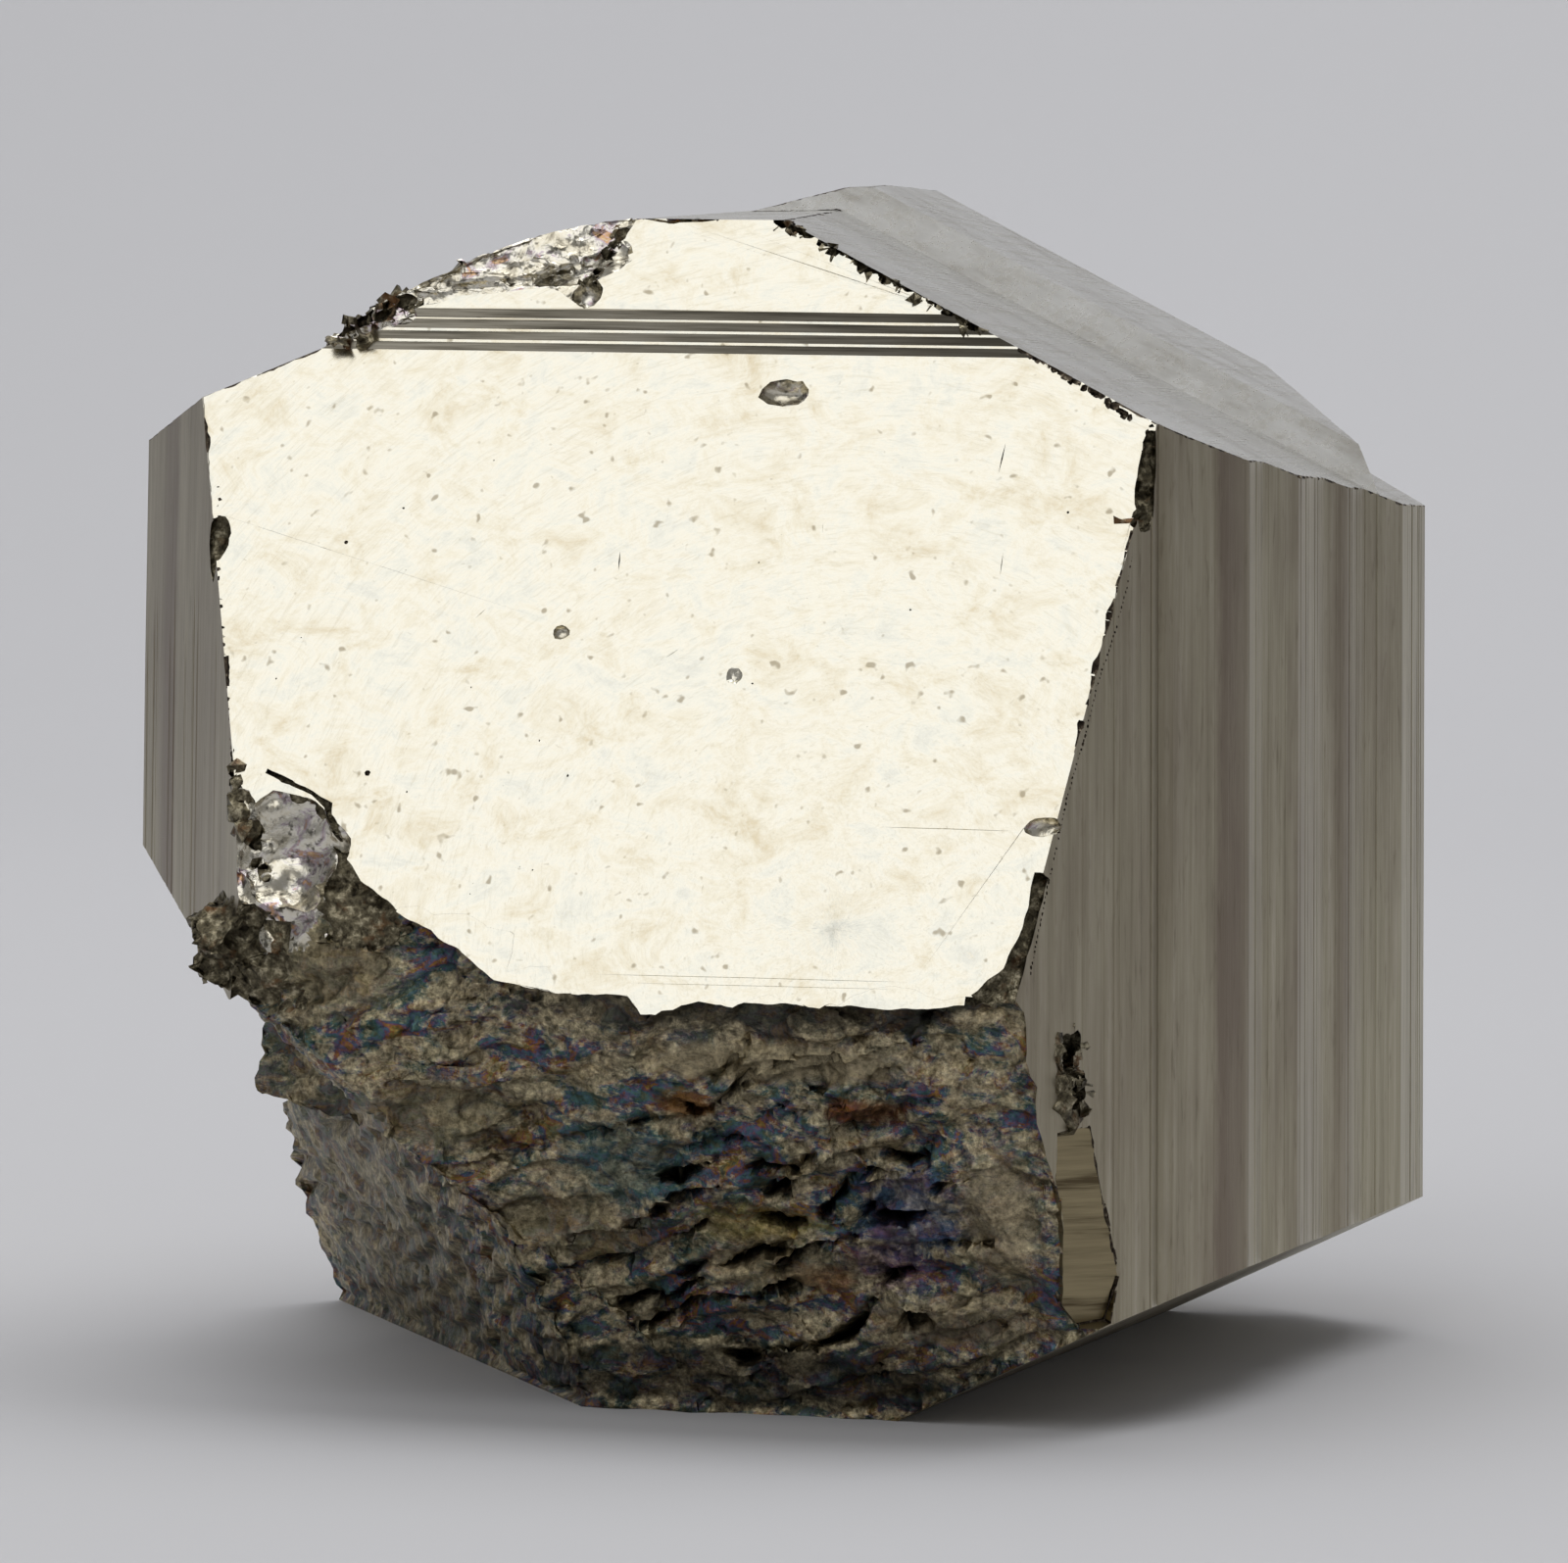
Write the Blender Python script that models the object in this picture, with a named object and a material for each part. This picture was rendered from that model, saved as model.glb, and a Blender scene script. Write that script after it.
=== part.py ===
# Pyrite cluster: one large blocky crystal with two smaller ones grown on its lower left side and
# one that stands a little proud of its roof at the back. The bright front face, stepped right side
# and sloping roof are natural crystal faces. The lower front is a rough fracture, and a flat cut
# underneath is where the cluster was taken off its rock.
# Metres, +Z up, origin under the middle of the cluster, -Y in front.

import math

import bmesh
import bpy
from mathutils import Vector, noise

MM = 0.001

# Driving dimensions in millimetres, from the middle of the large crystal
BLOCK = 60.0
CUT_DEPTH = 11.63
FRONT_LEAN = (0.0, -0.911, 0.413)
FRONT_DISTANCE = 8.08
UPPER_FRONT_DISTANCE = 8.35
LEDGE_FOOT = 8.27
LEDGE_RISERS = 4
LEDGE_TREAD = 0.05
NEAR_RIGHT_LEAN = (0.92, -0.391)
NEAR_RIGHT_DISTANCE = 9.85
NEAR_RIGHT_GROOVE = (-5.9, -5.45)
GROOVE_DEPTH = 0.14
RIGHT_STEPS = (-3.45, -1.0, 3.4, 6.3, 11.6)
RIGHT_CORNERS = (9.24, 11.38)
RISER_SHARE = 0.32
TREAD_LEAN = 0.03
RIGHT_SIDE_LEAN = 0.018

# Each face is the way it looks and how far it lies from the middle of the large crystal.
BIG_CRYSTAL = {
    "upper front": (FRONT_LEAN, UPPER_FRONT_DISTANCE),
    "roof right": ((0.451, -0.006, 0.893), 10.0),
    "roof left": ((-0.392, -0.044, 0.919), 11.0),
    "ridge": ((0.0, -0.057, 0.998), 11.05),
    "right near": ((0.92, -0.391, 0.018), 10.1),
    "right far": ((0.989, -0.15, 0.016), 10.2),
    "left near": ((-0.88, -0.474, 0.008), 11.77),
    "left far": ((-1.0, 0.0, 0.0), 12.74),
    "left back": ((-0.894, 0.447, 0.0), 13.1),
    "right back": ((0.624, 0.781, 0.008), 15.87),
    "back": ((0.02, 0.998, 0.05), 18.3),
    "back top": ((-0.171, 0.822, 0.543), 20.4),
    "back under": ((0.0, 0.894, -0.447), 16.3),
    "under right": ((0.44, -0.055, -0.897), 12.38),
    "under left": ((-0.627, -0.089, -0.774), 9.27),
    "cut": ((0.0, 0.0, -1.0), CUT_DEPTH),
}
LOWER_CRYSTAL = {
    "left": ((-0.97, -0.20, -0.12), 11.3),
    "lower left": ((-0.78, -0.468, -0.416), 9.63),
    "top": ((-0.45, 0.05, 0.89), -0.9),
    "back left": ((-0.60, 0.80, 0.0), 13.4),
    "back": ((0.10, 0.97, -0.20), 12.6),
    "right": ((1.0, 0.0, 0.0), 1.5),
    "front": ((0.0, -1.0, 0.0), 6.4),
    "cut": ((0.0, 0.0, -1.0), CUT_DEPTH),
}
SIDE_CRYSTAL = {
    "left": ((-0.97, 0.24, 0.05), 10.95),
    "front": ((-0.45, -0.89, 0.0), 3.6),
    "top": ((-0.45, 0.10, 0.89), 1.6),
    "under": ((-0.20, 0.0, -0.98), 8.8),
    "back": ((-0.30, 0.95, 0.0), 11.6),
    "right": ((1.0, 0.0, 0.0), -3.8),
}
BACK_CRYSTAL = {
    "roof right": ((0.451, -0.006, 0.893), 10.6),
    "roof left": ((-0.392, -0.044, 0.919), 10.9),
    "roof slope": ((0.436, -0.265, 0.863), 7.85),
    "ridge": ((0.0, -0.057, 0.998), 11.5),
    "right back": ((0.953, 0.302, 0.0), 12.37),
    "back": ((0.05, 0.998, 0.0), 20.0),
    "left back": ((-0.894, 0.447, 0.0), 10.2),
    "under": ((0.0, 0.35, -0.94), 8.5),
    "front": ((0.0, -1.0, 0.0), -3.0),
}

# The fracture below the front face: two slopes, roughened everywhere but on one small clean facet
FRACTURE_LOW = ((0.005, -0.894, -0.447), 10.96)
FRACTURE_LEFT = ((-0.229, -0.973, -0.013), 10.83)
FRACTURE_WIDTH = 27.0
FRACTURE_TOP = 3.0
FRACTURE_MARGIN = 1.0
FRACTURE_CELL = 0.32
SWELL_HEIGHT = 0.42
BROAD_SWELL_LENGTH = 4.5
SHORT_SWELL_LENGTH = 2.0
SHORT_SWELL_OFFSET = Vector((7, 3, 1))
GRAIN_HEIGHT = 0.26
GRAIN_LENGTH = 1.33
GRAIN_FRACTAL = (0.9, 2.1, 3, 0.8, 2.0)
FLAKE_HEIGHT = 0.34
FLAKE_SPACING = 1.9
FLAKE_SLOPE = 0.42
FLAKE_RISE = 0.72
FLAKE_WANDER = 1.1
FLAKE_WANDER_LENGTH = 1.67
CLEAN_FACET_MIDDLE = (7.5, -7.6)
CLEAN_FACET_REACH = (1.0, 2.3)
CLEAN_FACET_BORDER = (0.8, 1.3)
CLEAN_FACET_PROUD = 0.16

# Chips and pits taken out: where they lie, half sizes across, up and deep, and the way they face
PITS = {
    "pit under the ledge": ((1.0, -5.45, 7.54), (0.48, 0.28, 0.26), FRONT_LEAN),
    "small pit": ((-2.74, -7.50, 3.01), (0.17, 0.15, 0.12), FRONT_LEAN),
    "shell chip": ((-7.35, -9.35, -0.85), (1.15, 1.35, 0.50), (-0.15, -0.95, 0.05)),
    "right edge chip": ((8.30, -6.25, 5.75), (0.50, 1.60, 0.48), (0.55, -0.80, 0.2)),
    "right edge nick": ((6.66, -9.02, -0.28), (0.42, 0.20, 0.22), (0.3, -0.90, 0.3)),
    "left edge chip": ((-9.72, -6.70, 4.46), (0.34, 0.62, 0.30), (-0.7, -0.70, 0.2)),
    "left edge flake": ((-9.72, -7.60, 2.40), (0.22, 1.10, 0.22), (-0.7, -0.70, 0.2)),
    "roof edge chip": ((-6.75, -5.05, 8.98), (0.62, 0.26, 0.24), (-0.2, -0.60, 0.7)),
    "blistered hollow": ((-3.95, -4.57, 10.10), (1.75, 0.62, 0.26), FRONT_LEAN),
    "dark pit": ((-2.97, -4.93, 9.40), (0.30, 0.34, 0.36), FRONT_LEAN),
    "ridge chip": ((-1.30, -4.15, 10.98), (0.85, 0.30, 0.26), (0.0, -0.50, 0.85)),
}
LUMPS = {
    "long blister": ((-5.22, -4.66, 9.50), (0.66, 0.26, 0.24), FRONT_LEAN),
    "blister low": ((-4.30, -4.50, 9.70), (0.24, 0.19, 0.20), FRONT_LEAN),
    "blister high": ((-3.75, -4.36, 10.00), (0.22, 0.17, 0.20), FRONT_LEAN),
    "blister right": ((-3.25, -4.42, 9.86), (0.17, 0.15, 0.18), FRONT_LEAN),
    "knob": ((-8.55, -7.75, -2.95), (1.15, 1.05, 0.95), (-0.5, -0.80, -0.2)),
    "roof lump": ((1.75, 18.55, 11.05), (0.55, 0.45, 0.40), (0.45, 0.0, 0.89)),
}
PEBBLE_ROUGHNESS = 0.22
PEBBLE_DIMPLES = 1.7
LARGE_PEBBLE = 0.6


def collection(name):
    """Add a collection to the scene."""
    made = bpy.data.collections.new(name)
    bpy.context.scene.collection.children.link(made)
    return made


def add_object(name, bm, home):
    """Turn a closed bmesh into a flat-shaded object, with its faces pointing out."""
    bmesh.ops.recalc_face_normals(bm, faces=bm.faces)
    if bm.calc_volume(signed=True) < 0:
        bmesh.ops.reverse_faces(bm, faces=bm.faces)
    mesh = bpy.data.meshes.new(name)
    bm.to_mesh(mesh)
    bm.free()
    made = bpy.data.objects.new(name, mesh)
    home.objects.link(made)
    return made


def add_crystal(name, faces, home):
    """Cut a cube down to a crystal, one plane for each face."""
    bm = bmesh.new()
    bmesh.ops.create_cube(bm, size=BLOCK * MM)
    for facing, distance in faces.values():
        normal = Vector(facing).normalized()
        cut = bmesh.ops.bisect_plane(
            bm,
            geom=bm.verts[:] + bm.edges[:] + bm.faces[:],
            plane_co=normal * distance * MM,
            plane_no=normal,
            clear_outer=True,
        )
        rim = [part for part in cut["geom_cut"] if isinstance(part, bmesh.types.BMEdge)]
        bmesh.ops.holes_fill(bm, edges=rim, sides=0)
    return add_object(name, bm, home)


def add_prism(name, outline, plane, home):
    """Stretch a flat outline into a long cutter, across "YZ" or up through "XY"."""
    bm = bmesh.new()
    corners = []
    for first, second in outline:
        place = (-BLOCK / 2, first, second) if plane == "YZ" else (first, second, -BLOCK / 2)
        corners.append(bm.verts.new(Vector(place) * MM))
    face = bm.faces.new(corners)
    along = Vector((BLOCK, 0, 0)) if plane == "YZ" else Vector((0, 0, BLOCK))
    grown = bmesh.ops.extrude_face_region(bm, geom=[face])
    moved = [part for part in grown["geom"] if isinstance(part, bmesh.types.BMVert)]
    bmesh.ops.translate(bm, verts=moved, vec=along * MM)
    return add_object(name, bm, home)


def add_pebble(name, middle, half_sizes, facing, home):
    """Make an uneven ellipsoid that adds a lump or takes out a chip."""
    bm = bmesh.new()
    fineness = 3 if max(half_sizes) > LARGE_PEBBLE else 2
    bmesh.ops.create_icosphere(bm, subdivisions=fineness, radius=1.0)
    out = Vector(facing).normalized()
    across = Vector((0, 0, 1)).cross(out).normalized()
    up = out.cross(across)
    for vert in bm.verts:
        swell = 1 + PEBBLE_ROUGHNESS * noise.noise(vert.co * PEBBLE_DIMPLES + Vector(middle))
        wide, tall, deep = (size * swell for size in half_sizes)
        place = across * vert.co.x * wide + up * vert.co.y * tall + out * vert.co.z * deep
        vert.co = (Vector(middle) + place) * MM
    return add_object(name, bm, home)


def front_outline():
    """Side view of what is taken off below the upper front facet, with the ledge's fine steps."""
    lean_out, lean_up = -FRONT_LEAN[1], FRONT_LEAN[2]
    riser = (UPPER_FRONT_DISTANCE - FRONT_DISTANCE) / lean_up / LEDGE_RISERS

    def depth(height, distance):
        return -(distance - lean_up * height) / lean_out

    height = LEDGE_FOOT
    distance = FRONT_DISTANCE
    points = [(depth(-BLOCK / 2, distance), -BLOCK / 2), (depth(height, distance), height)]
    for step in range(LEDGE_RISERS):
        height += riser
        distance += riser * lean_up
        points.append((points[-1][0], height))
        if step < LEDGE_RISERS - 1:
            height += LEDGE_TREAD * lean_out
            points.append((depth(height, distance), height))
    points[-1] = (points[-1][0], height + LEDGE_TREAD)
    return points + [(-BLOCK / 2, height + LEDGE_TREAD), (-BLOCK / 2, -BLOCK / 2)]


def right_outline():
    """Plan of what is taken off the right side: a groove near the front, then broad growth steps."""
    lean_right, lean_front = NEAR_RIGHT_LEAN

    def near(y, sunk=0.0):
        return (NEAR_RIGHT_DISTANCE - sunk - lean_front * y) / lean_right

    groove_front, groove_back = NEAR_RIGHT_GROOVE
    points = [(near(-BLOCK / 2), -BLOCK / 2), (near(groove_front), groove_front)]
    points.append((near(groove_back, GROOVE_DEPTH), groove_back))
    points.append((near(groove_back + GROOVE_DEPTH), groove_back + GROOVE_DEPTH))
    slope = (RIGHT_CORNERS[1] - RIGHT_CORNERS[0]) / (RIGHT_STEPS[-1] - RIGHT_STEPS[0])
    riser_lean = (slope - TREAD_LEAN * (1 - RISER_SHARE)) / RISER_SHARE
    x = RIGHT_CORNERS[0]
    points.append((x, RIGHT_STEPS[0]))
    for start, end in zip(RIGHT_STEPS, RIGHT_STEPS[1:]):
        riser = (end - start) * RISER_SHARE
        x += riser * riser_lean
        points.append((x, start + riser))
        x += (end - start - riser) * TREAD_LEAN
        points.append((x, end))
    return points + [(BLOCK / 2, RIGHT_STEPS[-1]), (BLOCK / 2, -BLOCK / 2)]


def smooth_step(low, high, value):
    """Rise from 0 at low to 1 at high with soft ends."""
    share = min(max((value - low) / (high - low), 0.0), 1.0)
    return share * share * (3 - 2 * share)


def fracture_depth(x, z):
    """Y of the broken surface at a place on the front, in millimetres."""
    slopes = []
    for facing, distance in (FRACTURE_LOW, FRACTURE_LEFT):
        slopes.append(-(distance - facing[0] * x - facing[2] * z) / -facing[1])
    y = max(slopes)
    away_x = abs(x - CLEAN_FACET_MIDDLE[0]) / CLEAN_FACET_REACH[0]
    away_z = abs(z - CLEAN_FACET_MIDDLE[1]) / CLEAN_FACET_REACH[1]
    rough = smooth_step(*CLEAN_FACET_BORDER, max(away_x, away_z))
    spot = Vector((x, y, z))
    swell = noise.noise(spot / BROAD_SWELL_LENGTH)
    swell += 0.5 * noise.noise(spot / SHORT_SWELL_LENGTH + SHORT_SWELL_OFFSET)
    grain = noise.ridged_multi_fractal(spot / GRAIN_LENGTH, *GRAIN_FRACTAL) - 1.0
    wander = FLAKE_WANDER * noise.noise(spot / FLAKE_WANDER_LENGTH)
    stair = (z - FLAKE_SLOPE * x + wander) / FLAKE_SPACING
    share = stair - math.floor(stair)
    flake = min(share / FLAKE_RISE, (1 - share) / (1 - FLAKE_RISE))
    depth = SWELL_HEIGHT * swell - GRAIN_HEIGHT * grain + FLAKE_HEIGHT * (flake - 0.5)
    return y + rough * depth - (1 - rough) * CLEAN_FACET_PROUD


def add_fracture(home):
    """Make the block whose rough near face leaves the broken lower front."""
    bm = bmesh.new()
    height = FRACTURE_TOP + CUT_DEPTH + FRACTURE_MARGIN
    columns = round(FRACTURE_WIDTH / FRACTURE_CELL)
    rows = round(height / FRACTURE_CELL)
    bmesh.ops.create_grid(bm, x_segments=columns, y_segments=rows, size=0.5)
    for vert in bm.verts:
        x = vert.co.x * FRACTURE_WIDTH
        z = FRACTURE_TOP - (0.5 - vert.co.y) * height
        vert.co = Vector((x, fracture_depth(x, z), z)) * MM
    grown = bmesh.ops.extrude_face_region(bm, geom=bm.faces[:])
    for vert in grown["geom"]:
        if isinstance(vert, bmesh.types.BMVert):
            vert.co.y = -BLOCK / 2 * MM
    return add_object("fracture_cutter", bm, home)


def pyrite_material():
    """Brassy metallic pyrite."""
    material = bpy.data.materials.new("pyrite")
    material.use_nodes = True
    shader = material.node_tree.nodes["Principled BSDF"]
    shader.inputs["Base Color"].default_value = (0.62, 0.57, 0.43, 1.0)
    shader.inputs["Metallic"].default_value = 1.0
    shader.inputs["Roughness"].default_value = 0.32
    return material


def combine(target, operation, tools):
    """Add every solid of a collection to the crystal, or take them all off."""
    boolean = target.modifiers.new(operation.lower(), "BOOLEAN")
    boolean.operation = operation
    boolean.operand_type = "COLLECTION"
    boolean.collection = tools
    boolean.solver = "EXACT"
    for tool in tools.objects:
        tool.parent = target
        tool.hide_render = True
        tool.display_type = "WIRE"


def stand_on_origin(target):
    """Move the cluster so that the middle of its box stands over the origin, with the cut at z = 0."""
    bpy.context.view_layer.update()
    evaluated = target.evaluated_get(bpy.context.evaluated_depsgraph_get())
    corners = [Vector(corner) for corner in evaluated.bound_box]
    for axis in (0, 1):
        low = min(corner[axis] for corner in corners)
        high = max(corner[axis] for corner in corners)
        target.location[axis] = -(low + high) / 2
    target.location.z = CUT_DEPTH * MM


for old in list(bpy.data.objects):
    bpy.data.objects.remove(old, do_unlink=True)

cluster = collection("pyrite_cluster")
grown_on = collection("grown_on")
taken_off = collection("cutters")
lumps = collection("lumps")

pyrite = add_crystal("pyrite_cluster", BIG_CRYSTAL, cluster)
add_crystal("lower_crystal", LOWER_CRYSTAL, grown_on)
add_crystal("side_crystal", SIDE_CRYSTAL, grown_on)
add_crystal("back_crystal", BACK_CRYSTAL, grown_on)
add_prism("front_cutter", front_outline(), "YZ", taken_off)
right_cutter = add_prism("right_cutter", right_outline(), "XY", taken_off)
for corner in right_cutter.data.vertices:
    corner.co.x -= RIGHT_SIDE_LEAN * corner.co.z
add_fracture(taken_off)
for pit, (middle, half_sizes, facing) in PITS.items():
    add_pebble(pit.replace(" ", "_"), middle, half_sizes, facing, taken_off)

for lump, (middle, half_sizes, facing) in LUMPS.items():
    add_pebble(lump.replace(" ", "_"), middle, half_sizes, facing, lumps)

combine(pyrite, "UNION", grown_on)
combine(pyrite, "DIFFERENCE", taken_off)
combine(pyrite, "UNION", lumps)
pyrite.data.materials.append(pyrite_material())
stand_on_origin(pyrite)
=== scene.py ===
import heapq
import math
import random

import bmesh
import bpy
from bmesh.utils import edge_split, face_split
from mathutils import Matrix, Vector, noise
from mathutils.bvhtree import BVHTree


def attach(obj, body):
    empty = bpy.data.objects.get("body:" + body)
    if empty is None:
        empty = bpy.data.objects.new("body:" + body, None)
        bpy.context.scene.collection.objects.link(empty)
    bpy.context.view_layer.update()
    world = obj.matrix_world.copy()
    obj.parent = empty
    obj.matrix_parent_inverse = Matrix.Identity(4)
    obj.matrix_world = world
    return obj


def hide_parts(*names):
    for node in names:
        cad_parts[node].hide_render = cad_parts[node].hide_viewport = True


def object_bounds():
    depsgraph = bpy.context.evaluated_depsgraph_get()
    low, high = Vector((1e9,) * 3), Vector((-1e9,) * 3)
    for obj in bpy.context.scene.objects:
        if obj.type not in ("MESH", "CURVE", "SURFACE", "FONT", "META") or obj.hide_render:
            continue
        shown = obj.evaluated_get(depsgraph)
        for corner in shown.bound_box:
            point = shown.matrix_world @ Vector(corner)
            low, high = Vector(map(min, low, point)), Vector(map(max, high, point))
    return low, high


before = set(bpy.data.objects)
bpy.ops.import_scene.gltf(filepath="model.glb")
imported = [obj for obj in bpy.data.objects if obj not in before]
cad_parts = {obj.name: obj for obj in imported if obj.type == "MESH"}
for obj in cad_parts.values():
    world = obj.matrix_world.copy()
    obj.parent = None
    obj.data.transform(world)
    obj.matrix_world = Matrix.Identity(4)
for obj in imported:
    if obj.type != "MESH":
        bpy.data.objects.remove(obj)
cadLow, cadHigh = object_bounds()
mm = 0.001

# The middle of the large crystal: every place below is in mm from here
middle = Vector((cadLow.x + 12.74 * mm, cadLow.y + 10.61 * mm, cadLow.z + 11.63 * mm))


# Camera: a long lens, nearly level, a little to the right of the bright face

cameraSettings = {
    "azimuth": 11.617,         # degrees to the right of straight on
    "elevation": 2.559,        # degrees above the horizon
    "roll": 0.975,
    "distance": 134.62 * mm,   # from the lens to the middle of the crystal
    "frameWidth": 30.77 * mm,  # what the picture takes in at that distance
}


def addCamera(settings):
    turn, rise, roll = (math.radians(settings[name]) for name in ("azimuth", "elevation", "roll"))
    back = Vector((math.sin(turn) * math.cos(rise), -math.cos(turn) * math.cos(rise), math.sin(rise)))
    level = Vector((math.cos(turn), math.sin(turn), 0))
    up = back.cross(level)
    right = math.cos(roll) * level + math.sin(roll) * up
    top = math.cos(roll) * up - math.sin(roll) * level
    data = bpy.data.cameras.new("camera")
    data.sensor_width = 36
    data.lens = 36 * settings["distance"] / settings["frameWidth"]
    data.clip_start = 1 * mm
    data.clip_end = 10
    camera = bpy.data.objects.new("camera", data)
    bpy.context.scene.collection.objects.link(camera)
    turned = Matrix((right, top, back)).transposed().to_4x4()
    turned.translation = middle + back * settings["distance"]
    camera.matrix_world = turned
    bpy.context.scene.camera = camera


addCamera(cameraSettings)
print("camera placed")


# Materials: pyrite in each of the states that the crystal shows

def linear(text):  # sRGB hex to the linear colour that a shader takes
    parts = [int(text[i:i + 2], 16) / 255 for i in (0, 2, 4)]
    return tuple(p / 12.92 if p <= 0.04045 else ((p + 0.055) / 1.055) ** 2.4 for p in parts) + (1.0,)


def addNode(tree, kind, settings=None, links=None, stops=None):
    node = tree.nodes.new("ShaderNode" + kind)
    for name, value in (settings or {}).items():
        if isinstance(name, int) or name in node.inputs:
            node.inputs[name].default_value = value
        else:
            setattr(node, name, value)
    for name, source in (links or {}).items():
        tree.links.new(source, node.inputs[name])
    if stops:  # places along a colour ramp, each with a grey or a hex colour
        band = node.color_ramp
        while len(band.elements) < len(stops):
            band.elements.new(0.5)
        for element, (place, colour) in zip(band.elements, stops):
            element.position = place
            element.color = linear(colour) if isinstance(colour, str) else (colour, colour, colour, 1)
    return node


def startMaterial(name, settings):
    material = bpy.data.materials.new(name)
    material.use_nodes = True
    tree = material.node_tree
    tree.nodes.clear()
    shader = addNode(tree, "BsdfPrincipled", settings)
    addNode(tree, "OutputMaterial", links={"Surface": shader.outputs["BSDF"]})
    place = addNode(tree, "TexCoord").outputs["Object"]
    return material, tree, shader, place


def makeBrightFace():
    # Pyrite, as grown: a pale brass mirror, dulled by hair scratches that sweep round in arcs,
    # by thin milky films and by specks of dirt
    material, tree, shader, place = startMaterial("pyriteMirror", {"Metallic": 1.0, "Roughness": 0.2})
    turnedAbout = middle + Vector((3.0, -9.9, -2.2)) * mm   # the arcs run round this place
    away = addNode(tree, "VectorMath", {"operation": "SUBTRACT", 1: turnedAbout}, {0: place})
    aside = addNode(tree, "VectorMath", {"operation": "DOT_PRODUCT", 1: (1, 0, 0)}, {0: away.outputs[0]})
    above = addNode(tree, "VectorMath", {"operation": "DOT_PRODUCT", 1: (0, 0.413, 0.911)}, {0: away.outputs[0]})
    angle = addNode(tree, "Math", {"operation": "ARCTAN2"}, {0: aside.outputs["Value"], 1: above.outputs["Value"]})
    radius = addNode(tree, "VectorMath", {"operation": "LENGTH"}, {0: away.outputs[0]})
    polar = addNode(tree, "CombineXYZ", {}, {0: radius.outputs["Value"], 1: angle.outputs[0]})
    thin = addNode(tree, "Mapping", {"Scale": (9000, 16, 1)}, {"Vector": polar.outputs[0]})   # 0.09 mm apart
    soft = addNode(tree, "Mapping", {"Scale": (850, 850, 1200)}, {"Vector": place})
    fine = addNode(tree, "Mapping", {"Scale": (4200, 4200, 4200)}, {"Vector": place})
    hairs = addNode(tree, "TexNoise", {"Scale": 1.0, "Detail": 6.0, "Roughness": 0.7, "Distortion": 1.2},
                    {"Vector": thin.outputs[0]})
    blotches = addNode(tree, "TexNoise", {"Scale": 1.0, "Detail": 10.0, "Roughness": 0.76, "Distortion": 0.5},
                       {"Vector": soft.outputs[0]})
    specks = addNode(tree, "TexNoise", {"Scale": 1.0, "Detail": 1.0, "Roughness": 0.5}, {"Vector": fine.outputs[0]})
    film = addNode(tree, "ValToRGB", links={"Fac": blotches.outputs["Fac"]},
                   stops=((0.32, "C6BBA2"), (0.43, "D3CDBB"), (0.52, "D9D5C7"), (0.58, "D4D2C6"),
                          (0.66, "CBCAC0"), (0.72, "D5D0C0")))
    dull = addNode(tree, "ValToRGB", links={"Fac": hairs.outputs["Fac"]}, stops=((0.54, 0.0), (0.74, 0.35)))
    dirt = addNode(tree, "ValToRGB", links={"Fac": specks.outputs["Fac"]}, stops=((0.70, 0.0), (0.78, 0.7)))
    scratched = addNode(tree, "Mix", {"data_type": "RGBA", 7: linear("B9B095")},
                        {0: dull.outputs["Color"], 6: film.outputs["Color"]})
    base = addNode(tree, "Mix", {"data_type": "RGBA", 7: linear("857A62")},
                   {0: dirt.outputs["Color"], 6: scratched.outputs[2]})
    gloss = addNode(tree, "ValToRGB", links={"Fac": hairs.outputs["Fac"]}, stops=((0.3, 0.16), (0.7, 0.28)))
    relief = addNode(tree, "Bump", {"Distance": 0.004 * mm}, {"Height": hairs.outputs["Fac"]})
    tree.links.new(base.outputs[2], shader.inputs["Base Color"])
    tree.links.new(gloss.outputs["Color"], shader.inputs["Roughness"])
    tree.links.new(relief.outputs["Normal"], shader.inputs["Normal"])
    return material


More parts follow.
